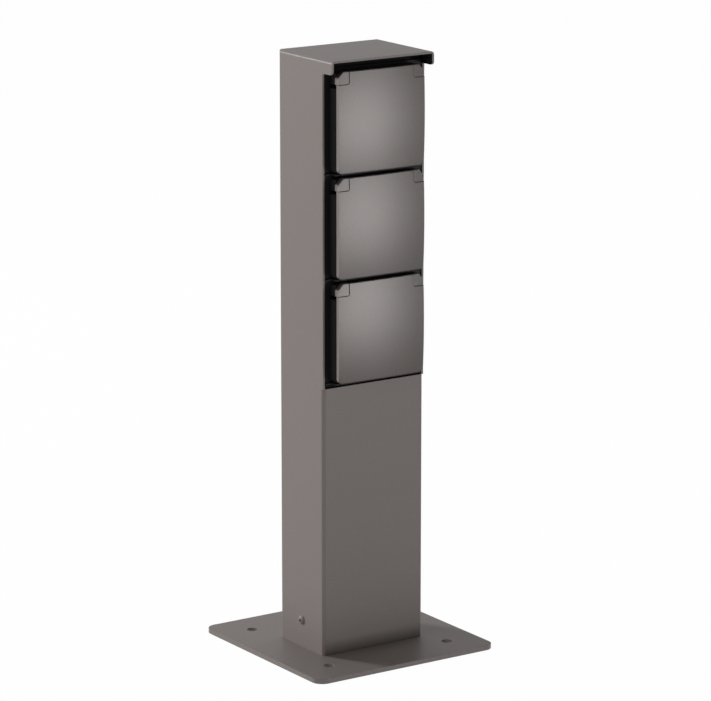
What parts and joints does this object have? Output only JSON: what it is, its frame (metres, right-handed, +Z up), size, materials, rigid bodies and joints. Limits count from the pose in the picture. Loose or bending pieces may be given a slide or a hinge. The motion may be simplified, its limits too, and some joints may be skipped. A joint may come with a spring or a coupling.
{
  "type": "garden socket post",
  "caption": "Slim rectangular garden socket post on a square base plate, with earthed mains sockets behind hinged rain lids under a small hood.",
  "frame": {"origin": "bottom centre of the base plate, on the ground", "axes": "+Z up along the column, front with the lids towards -Y, +X to the right seen from the front"},
  "size_m": [0.18, 0.18, 0.511],
  "materials": {
    "powder_coat": "fine textured powder coat, warm grey",
    "lid_plastic": "satin lacquered plastic, warm grey",
    "black_plastic": "moulded, satin",
    "black_panel": "matt black coat",
    "rubber": "matt",
    "zinc_steel": "zinc plated",
    "brass": "plain",
    "insulator": "moulded",
    "brown_wire": "soft sheath",
    "blue_wire": "soft sheath",
    "earth_wire": "soft sheath"
  },
  "bodies": {
    "post": {"base_plate": "powder_coat", "base_spigot": "zinc_steel", "spigot_nuts": "zinc_steel", "cable_grommet": "rubber", "column": "powder_coat", "side_screws": "powder_coat", "mounting_rails": "zinc_steel", "socket_carrier": "black_panel", "frame_screws": "zinc_steel", "centre_screws": "zinc_steel", "back_screws": "zinc_steel", "terminal_block": "insulator", "terminal_screws": "zinc_steel", "block_screws": "zinc_steel", "live_wires": "brown_wire", "neutral_wires": "blue_wire", "earth_wires": "earth_wire", "earth_stud": "zinc_steel", "earth_lug": "brass", "earth_nut": "zinc_steel", "frame_top": "black_plastic", "frame_middle": "black_plastic", "frame_bottom": "black_plastic", "hinge_ears_top": "lid_plastic", "hinge_ears_middle": "lid_plastic", "hinge_ears_bottom": "lid_plastic", "hinge_pin_top": "zinc_steel", "hinge_pin_middle": "zinc_steel", "hinge_pin_bottom": "zinc_steel", "flap_spring_top": "zinc_steel", "flap_spring_middle": "zinc_steel", "flap_spring_bottom": "zinc_steel", "socket_insert_top": "black_plastic", "socket_insert_middle": "black_plastic", "socket_insert_bottom": "black_plastic", "earth_clip_top": "zinc_steel", "earth_clip_middle": "zinc_steel", "earth_clip_bottom": "zinc_steel", "contacts_top": "brass", "contacts_middle": "brass", "contacts_bottom": "brass", "socket_base_top": "insulator", "socket_base_middle": "insulator", "socket_base_bottom": "insulator", "socket_back_top": "insulator", "socket_back_middle": "insulator", "socket_back_bottom": "insulator"},
    "lid_top": {"flap_top": "lid_plastic", "flap_seal_top": "rubber"},
    "lid_middle": {"flap_middle": "lid_plastic", "flap_seal_middle": "rubber"},
    "lid_bottom": {"flap_bottom": "lid_plastic", "flap_seal_bottom": "rubber"}
  },
  "joints": [
    {"name": "lid_top_hinge", "type": "hinge", "parent": "post", "child": "lid_top", "pos_m": [0, -0.047, 0.4949], "axis": [-1, 0, 0], "range_deg": [0, 110], "stiffness_Nm_per_rad": 0.01, "springref_deg": -28.65, "deforming": ["flap_spring_top"]},
    {"name": "lid_middle_hinge", "type": "hinge", "parent": "post", "child": "lid_middle", "pos_m": [0, -0.047, 0.4069], "axis": [-1, 0, 0], "range_deg": [0, 110], "stiffness_Nm_per_rad": 0.01, "springref_deg": -28.65, "deforming": ["flap_spring_middle"]},
    {"name": "lid_bottom_hinge", "type": "hinge", "parent": "post", "child": "lid_bottom", "pos_m": [0, -0.047, 0.3189], "axis": [-1, 0, 0], "range_deg": [0, 110], "stiffness_Nm_per_rad": 0.01, "springref_deg": -28.65, "deforming": ["flap_spring_bottom"]}
  ]
}
